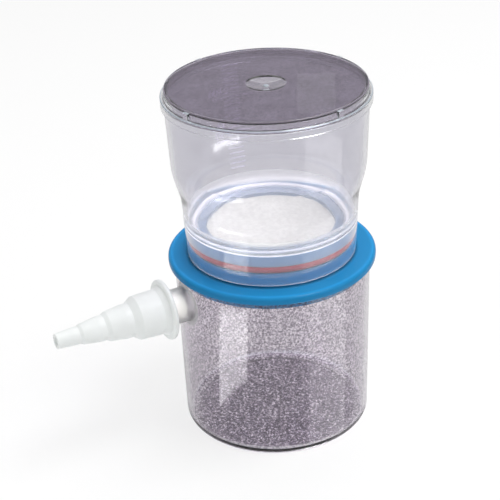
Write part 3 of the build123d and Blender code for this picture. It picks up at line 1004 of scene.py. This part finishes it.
def collar_outline(sizes):
    """The collar's flange, boss, groove, recess, drain floor, nozzle and spigot."""
    at = collar_levels(sizes)
    groove_depth, boss_wall, drain_wall = 2.75 * MM, 2.0 * MM, 1.8 * MM
    flange_z, boss_r = at["flange"], BORE_R - SKIRT_GAP
    top_z = flange_z + sizes.flange_thickness
    seal_z = (SEAL[0].z + SEAL[1].z) / 2
    groove_half = (SEAL[1].z - SEAL[0].z) / 2 + 0.1 * MM
    groove_r = SEAL[1].x - groove_depth
    drop = RECEIVER[1].z - flange_z + sizes.spigot_depth
    spigot_r = RIM_R - RECEIVER_WALL - drop * tan(RECEIVER_DRAFT) - SIDE_GAP
    pocket_r = boss_r - boss_wall
    pocket_z = at["drain_edge"] - drain_wall
    join_z = pocket_z - (at["drain_r"] - sizes.nozzle_radius) * DRAIN_SLOPE
    low_z = at["drain_edge"] - (at["drain_r"] - sizes.nozzle_bore) * DRAIN_SLOPE
    fine, soft = 0.15 * MM, 0.35 * MM
    return rounded([
        (sizes.nozzle_bore, COLLAR[0].z, fine),
        (sizes.nozzle_radius, COLLAR[0].z, soft),
        (sizes.nozzle_radius, join_z, 0.8 * MM),
        (at["drain_r"], pocket_z, 0.5 * MM),
        (pocket_r, pocket_z, 0.5 * MM),
        (pocket_r, flange_z, soft),
        (spigot_r - sizes.spigot_wall, flange_z, fine),
        (spigot_r - sizes.spigot_wall, flange_z - sizes.spigot_depth, soft),
        (spigot_r, flange_z - sizes.spigot_depth, soft),
        (spigot_r, flange_z + sizes.rim_depth, fine),
        (RIM_R + 0.2 * MM, flange_z + sizes.rim_depth, fine),
        (RIM_R + 0.2 * MM, flange_z, fine),
        (FLANGE_R, flange_z, sizes.low_edge),
        (FLANGE_R, top_z, sizes.top_edge),
        (boss_r, top_z, 0.3 * MM),
        (boss_r, seal_z - groove_half, fine),
        (groove_r, seal_z - groove_half, fine),
        (groove_r, seal_z + groove_half, fine),
        (boss_r, seal_z + groove_half, fine),
        (boss_r, COLLAR[1].z, 0.35 * MM),
        (boss_r - sizes.rim_wall, COLLAR[1].z, fine),
        (boss_r - sizes.rim_wall, at["land"], fine),
        (at["recess_r"], at["land"], fine),
        (at["recess_r"], at["ledge"], fine),
        (at["drain_r"], at["ledge"], fine),
        (at["drain_r"], at["drain_edge"], 0.5 * MM),
        (sizes.nozzle_bore, low_z, 0.5 * MM),
    ])


class FILTRATION_OT_collar(bpy.types.Operator):
    """Build the blue collar with its flange, boss, drain ribs and nozzle"""
    bl_idname = "filtration.collar"
    bl_label = "Collar"

    def execute(self, context):
        sizes = settings().collar
        at = collar_levels(sizes)
        flange_top = at["flange"] + sizes.flange_thickness
        # the flange gets painted shade at the boss's root and a painted highlight on its edge
        material = moulded_plastic(
            "Satin moulded blue polypropylene", settings().finish.collar, 14.0, 0.35, 0.18,
            POLYPROPYLENE, 0.08, (0.4, 0.8, 1.0), shine=0.1,
            flange=(SEAL[1].x + 1.2 * MM, FLANGE_R, flange_top + 0.05 * MM))
        piece = turned("collar_body", collar_outline(sizes))
        finish_piece(piece, "collar_stack", material, "blue_polypropylene", "collar")
        half = sizes.rib_thickness / 2
        foot_z = at["drain_edge"] - 0.8 * MM
        rib = box_mesh(
            "rib_start", (2 * sizes.nozzle_bore, -half, foot_z),
            (at["drain_r"] + 0.5 * MM, half, at["ledge"] - 0.02 * MM), 0.15 * MM)
        middle_z = (foot_z + at["ledge"]) / 2
        for vert in rib.vertices:
            if vert.co.z < middle_z:
                vert.co.z -= (at["drain_r"] - vert.co.x) * DRAIN_SLOPE
        ribs = grown("drain_ribs", ring_tree(), rib, count=sizes.rib_count, first_angle=0.0,
                     material=material)
        finish_piece(ribs, "collar_stack", material, "blue_polypropylene")
        return {"FINISHED"}


class FILTRATION_OT_seal(bpy.types.Operator):
    """Build the red seal ring in the boss's groove"""
    bl_idname = "filtration.seal"
    bl_label = "Seal ring"

    def execute(self, context):
        section = (SEAL[1].z - SEAL[0].z) / 2
        centre = Vector((SEAL[1].x - section, (SEAL[0].z + SEAL[1].z) / 2))
        around = 28
        outline = [
            centre + section * Vector((cos(2 * pi * k / around), sin(2 * pi * k / around)))
            for k in range(around)]
        material = moulded_plastic(
            "Moulded red silicone rubber", settings().finish.seal, 9.0, 0.6, 0.5, 1.41, 0.05,
            (1.0, 0.3, 0.2))
        finish_piece(turned("seal", outline), "collar_stack", material, "red_silicone",
                     "seal_ring")
        return {"FINISHED"}


class FILTRATION_OT_filter_stack(bpy.types.Operator):
    """Build the membrane and its pad, and finish the support plate"""
    bl_idname = "filtration.filter_stack"
    bl_label = "Filter stack"

    def execute(self, context):
        colours = settings().finish
        for name, (low, high), edge, material, slot_name, stands_for in (
                ("membrane_disc", MEMBRANE, 0.04 * MM, cast_membrane(colours.membrane),
                 "cellulose_membrane", "membrane_filter"),
                ("fibre_pad", PAD, 0.15 * MM,
                 pressed_fibre("Pressed cellulose pad", colours.pad, 0.5, 0.08),
                 "cellulose_pad", "support_pad")):
            disc = turned(name, rounded([
                (0, low.z), (high.x, low.z, edge), (high.x, high.z, edge), (0, high.z)]))
            finish_piece(disc, "collar_stack", material, slot_name, stands_for)
        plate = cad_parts["support_plate"]
        plate.data.materials.clear()
        plate.data.materials.append(moulded_plastic(
            "Milky moulded polypropylene", colours.plate, 8.0, 0.5, 0.45, POLYPROPYLENE, 0.15,
            (1.0, 1.0, 1.0)))
        return {"FINISHED"}


class FILTRATION_OT_adapter(bpy.types.Operator):
    """Build the stepped hose adapter"""
    bl_idname = "filtration.adapter"
    bl_label = "Hose adapter"

    def execute(self, context):
        sizes = settings().adapter
        start, end = -ADAPTER[1].x, -ADAPTER[0].x
        socket_r = sizes.port_radius + SEAT_GAP
        root_r = socket_r + sizes.wall
        face = start + sizes.flange_thickness
        socket_end = -RECEIVER[0].x + 0.6 * MM
        # each step's radius at its large end, how much it tapers, and the shoulder after it
        large = (root_r, sizes.second_step, sizes.third_step, sizes.fourth_step)
        taper = (0.24 * MM, 0.8 * MM, 0.85 * MM, 0.48 * MM)
        shoulders = (2.5 * MM, 1.5 * MM, 1.1 * MM, 0.0)
        run = (end - face - sizes.root_length - sum(shoulders)) / len(large)
        corners = [
            (ADAPTER[1].y, start, sizes.flange_edge),
            (ADAPTER[1].y, face, sizes.flange_edge),
            (root_r + 0.97 * MM, face, 0.35 * MM),
        ]
        place = face + sizes.root_length
        for radius, drop, shoulder in zip(large, taper, shoulders):
            corners += [
                (radius, place, sizes.edge),
                (radius, place + sizes.step_land, sizes.edge),
                (radius - drop, place + run, sizes.edge),
            ]
            place += run + shoulder
        corners += [
            (sizes.bore, end, 0.25 * MM),
            (sizes.bore, socket_end + 2 * sizes.bore, 0.4 * MM),
            (sizes.port_bore, socket_end, 0.2 * MM),
            (socket_r, socket_end, 0.2 * MM),
            (socket_r, start, 0.3 * MM),
        ]
        piece = turned("stepped_adapter", rounded(corners), SMALL_SEGMENTS, ALONG_PORT)
        # glow=0.18 is a painted glow that lifts the adapter's shaded sides
        material = moulded_plastic(
            "Waxy moulded white polyethylene", settings().finish.adapter, 6.0, 0.5, 0.42, 1.51,
            0.2, (1.0, 0.95, 0.9), glow=0.18)
        finish_piece(piece, "adapter", material, "white_polyethylene", "hose_adapter")
        return {"FINISHED"}


def curled_fibre(length_mm, thickness_mm):
    """One short curled fibre with three sides, centred on the origin."""
    mesh = bmesh.new()
    rings = []
    for k in range(7):
        t = k / 6 - 0.5
        centre = Vector((t * length_mm, 0.5 * sin(t * pi * 1.6), 0.35 * cos(t * pi * 2))) * MM
        rings.append([
            mesh.verts.new(centre + Vector((0, cos(a), sin(a))) * thickness_mm * MM / 2)
            for a in (0.0, 2 * pi / 3, 4 * pi / 3)])
    for one, other in zip(rings, rings[1:]):
        for a in range(3):
            b = (a + 1) % 3
            mesh.faces.new((one[a], one[b], other[b], other[a]))
    mesh.faces.new(rings[0][::-1])
    mesh.faces.new(rings[-1])
    bmesh.ops.recalc_face_normals(mesh, faces=mesh.faces)
    return as_object("fibre_start", mesh)


class FILTRATION_OT_cotton(bpy.types.Operator):
    """Build the cotton plug in the side port"""
    bl_idname = "filtration.cotton"
    bl_label = "Cotton plug"

    def execute(self, context):
        start, end = -PLUG[1].x, -PLUG[0].x
        inset, lump_size, lump_height, core_share = 0.3 * MM, 1.6 * MM, 0.25, 0.86
        radius = PLUG[1].y - inset
        corners = rounded([
            (0, start + inset), (radius, start + inset, 1.2 * MM),
            (radius, end - inset, 1.2 * MM), (0, end - inset)])
        path = []
        for one, other in zip(corners, corners[1:]):
            pieces = max(1, ceil((other - one).length / (0.35 * MM)))
            path += [one.lerp(other, k / pieces) for k in range(pieces)]
        path.append(corners[-1])
        piece = turned("cotton_wad", path, SMALL_SEGMENTS, ALONG_PORT)
        for vert in piece.data.vertices:
            lump = noise.fractal(vert.co / lump_size, 0.7, 2.0, 4) * 0.3
            vert.co += vert.normal * max(-lump_height, min(lump_height, lump)) * MM
        # glow=0.45 is a painted glow, a constant emission
        material = pressed_fibre(
            "Teased cotton wool", settings().finish.cotton, 0.6, 0.3, glow=0.45)
        fibre = curled_fibre(1.4, 0.06)
        core = piece.data.copy()
        middle = Vector((-(start + end) / 2, 0, PORT_Z))
        for vert in core.vertices:
            vert.co = middle + (vert.co - middle) * core_share
        loose = grown("cotton_fibres", fibres_tree(), core, density=1.6e6, fibre=fibre,
                      material=material)
        bpy.data.objects.remove(fibre)
        finish_piece(piece, "base", material, "cotton_fibre", "cotton_plug")
        finish_piece(loose, "base", material, "cotton_fibre")
        return {"FINISHED"}


# ---- Stage ----
AIM = Vector((0, 0, 0.06))    # the middle of the unit
SOFTBOX_DISTANCE = 1.064      # of the bent softboxes from the unit's axis
# name, lower edge, upper edge, strength; an edge is the azimuth in degrees and the height
# in metres of its left and of its right end
BENT_SOFTBOXES = (
    ("left softbox", ((-94.5, 0.59), (-59, 0.6)), ((-105, 0.735), (-63.5, 0.7)), 6.5),
    ("low softbox", ((-92, 0.423), (-59, 0.423)), ((-92, 0.431), (-59, 0.431)), 30),
    ("right softbox", ((14.5, 0.41), (64.5, 0.41)), ((12.5, 0.8), (66.5, 0.8)), 2.2),
    ("back softbox", ((150.2, 0.66), (147.7, 0.66)), ((150.2, 0.81), (147.7, 0.81)), 1.2),
    ("high softbox", ((172, 0.85), (128, 0.85)), ((172, 1.5), (128, 1.5)), 1.5),
    ("small softbox", ((150.4, 0.53), (148, 0.53)), ((150.4, 0.58), (148, 0.58)), 0.6),
)


def flat_softbox(name, azimuth, elevation, width, height, watts):
    """A softbox one metre from AIM, facing it; azimuth 0 is -Y, and 90 is +X."""
    data = bpy.data.lights.new(name, "AREA")
    data.shape, data.size, data.size_y, data.energy = "RECTANGLE", width, height, watts
    lamp = placed(name, data)
    a, e = radians(azimuth), radians(elevation)
    towards = Vector((sin(a) * cos(e), -cos(a) * cos(e), sin(e)))
    lamp.location = AIM + towards
    lamp.rotation_euler = (-towards).to_track_quat("-Z", "Y").to_euler()
    lamp.visible_camera = False


def bent_softbox(name, low, high, strength):
    """A softbox bent round the unit, between a lower and an upper edge."""
    material, node, _ = blank(name)
    glow = node("ShaderNodeEmission", {"Strength": strength})
    node("ShaderNodeOutputMaterial", {"Surface": glow})
    mesh, rows, steps = bmesh.new(), [], 24
    for left, right in (low, high):
        rows.append([])
        for k in range(steps + 1):
            azimuth, height = Vector(left).lerp(Vector(right), k / steps)
            a = radians(azimuth)
            rows[-1].append(mesh.verts.new(
                (sin(a) * SOFTBOX_DISTANCE, -cos(a) * SOFTBOX_DISTANCE, height)))
    for k in range(steps):
        mesh.faces.new((rows[0][k], rows[0][k + 1], rows[1][k + 1], rows[1][k]))
    panel = as_object(name.replace(" ", "_"), mesh)
    panel.data.materials.append(material)
    panel.visible_camera = False


def seen_straight(node, path):
    """1 where the camera sees a thing itself, or through clear plastic."""
    return node("ShaderNodeMath", {
        0: path["Is Camera Ray"], 1: path["Is Transmission Ray"]}, operation="MAXIMUM")


def pale_floor():
    """A matt floor that is near white to the camera and keeps the unit's shadow."""
    material, node, _ = blank("Matt pale floor")
    path = node("ShaderNodeLightPath").outputs
    share = node("ShaderNodeMath", {
        0: seen_straight(node, path), 1: 0.7}, operation="MULTIPLY")
    lit = node("ShaderNodeBsdfDiffuse", {"Color": tuple(settings().finish.floor)})
    white = node("ShaderNodeEmission", {"Strength": 1.0})
    both = node("ShaderNodeMixShader", {0: share, 1: lit, 2: white})
    # in the unit's own reflections the table is polished and shows the softboxes
    polished = node("ShaderNodeMath", {0: path["Is Glossy Ray"], 1: 0.4}, operation="MULTIPLY")
    shine = node("ShaderNodeBsdfGlossy", {"Color": linear("#ffffff"), "Roughness": 0.02})
    both = node("ShaderNodeMixShader", {0: polished, 1: both, 2: shine})
    node("ShaderNodeOutputMaterial", {"Surface": both})
    mesh = bmesh.new()
    bmesh.ops.create_circle(mesh, cap_ends=True, segments=96, radius=6.0)
    floor = as_object("floor", mesh)
    floor.data.materials.append(material)


def studio_world():
    """Soft, even light from all round, and white behind the unit."""
    world = bpy.data.worlds.new("Studio")
    world.use_nodes = True
    world.node_tree.nodes.clear()
    node = partial(add, world.node_tree)
    ambient, white = (
        node("ShaderNodeBackground", {"Color": linear("#ffffff"), "Strength": level})
        for level in (0.42, 1.0))
    path = node("ShaderNodeLightPath").outputs
    both = node("ShaderNodeMixShader", {
        0: seen_straight(node, path), 1: ambient, 2: white})
    node("ShaderNodeOutputWorld", {"Surface": both})
    return world


def stage_camera():
    """The camera, which looks down on the unit from its front left."""
    azimuth, elevation, roll = radians(-26.56), radians(28.18), radians(-2.54)
    distance = 0.4803
    right = Vector((cos(azimuth), sin(azimuth), 0))
    ahead = Vector((
        -sin(azimuth) * cos(elevation), cos(azimuth) * cos(elevation), -sin(elevation)))
    up = right.cross(ahead)
    target = right * -0.0078 + Vector((0, 0, 0.06581))
    side = right * cos(roll) + up * sin(roll)
    over = up * cos(roll) - right * sin(roll)
    data = bpy.data.cameras.new("camera")
    data.lens, data.sensor_width = 96.9, 36.0
    data.clip_start, data.clip_end = 0.01, 50.0
    camera = placed("camera", data)
    turn = Matrix((side, over, -ahead)).transposed().to_4x4()
    camera.matrix_world = Matrix.Translation(target - ahead * distance) @ turn
    return camera


class FILTRATION_OT_stage(bpy.types.Operator):
    """Set the pale floor, the soft light and the camera"""
    bl_idname = "filtration.stage"
    bl_label = "Stage"

    def execute(self, context):
        scene = context.scene
        pale_floor()
        scene.world = studio_world()
        flat_softbox("key softbox", 48, 67, 0.5, 0.3, 5.2)
        for softbox in BENT_SOFTBOXES:
            bent_softbox(*softbox)
        flat_softbox("top softbox", 150, 72, 0.6, 0.4, 1.6)
        scene.camera = stage_camera()
        scene.view_settings.view_transform = "Standard"
        # the walls lie one behind another, so light needs many steps to get through
        scene.cycles.max_bounces = scene.cycles.transmission_bounces = 32
        scene.cycles.glossy_bounces = 8
        return {"FINISHED"}


class FILTRATION_PT_panel(bpy.types.Panel):
    """Lists the pieces of the unit and their sizes"""
    bl_idname = "FILTRATION_PT_panel"
    bl_label = "Filtration unit"
    bl_space_type = "VIEW_3D"
    bl_region_type = "UI"
    bl_category = "Filtration"

    def draw(self, context):
        for operator in OPERATORS:
            self.layout.operator(operator.bl_idname)
        for group in ("funnel", "scale", "lid", "collar", "adapter", "finish"):
            box = self.layout.box()
            box.label(text=group.capitalize())
            values = getattr(settings(), group)
            for prop in values.bl_rna.properties:
                if not prop.is_readonly and prop.identifier != "name":
                    box.prop(values, prop.identifier)


GROUPS = (FunnelSizes, ScaleSizes, LidSizes, CollarSizes, AdapterSizes, Finish, UnitSettings)
OPERATORS = (
    FILTRATION_OT_receiver, FILTRATION_OT_cotton, FILTRATION_OT_adapter, FILTRATION_OT_collar,
    FILTRATION_OT_seal, FILTRATION_OT_filter_stack, FILTRATION_OT_funnel, FILTRATION_OT_scale,
    FILTRATION_OT_lid, FILTRATION_OT_stage,
)


def register():
    for cls in (*GROUPS, *OPERATORS, FILTRATION_PT_panel):
        bpy.utils.register_class(cls)
    bpy.types.Scene.filtration_unit = PointerProperty(type=UnitSettings)


def unregister():
    del bpy.types.Scene.filtration_unit
    for cls in reversed((*GROUPS, *OPERATORS, FILTRATION_PT_panel)):
        bpy.utils.unregister_class(cls)


def main():
    register()
    for operator in OPERATORS:
        name = operator.bl_idname.split(".")[1]
        getattr(bpy.ops.filtration, name)()


if __name__ == "__main__":
    main()
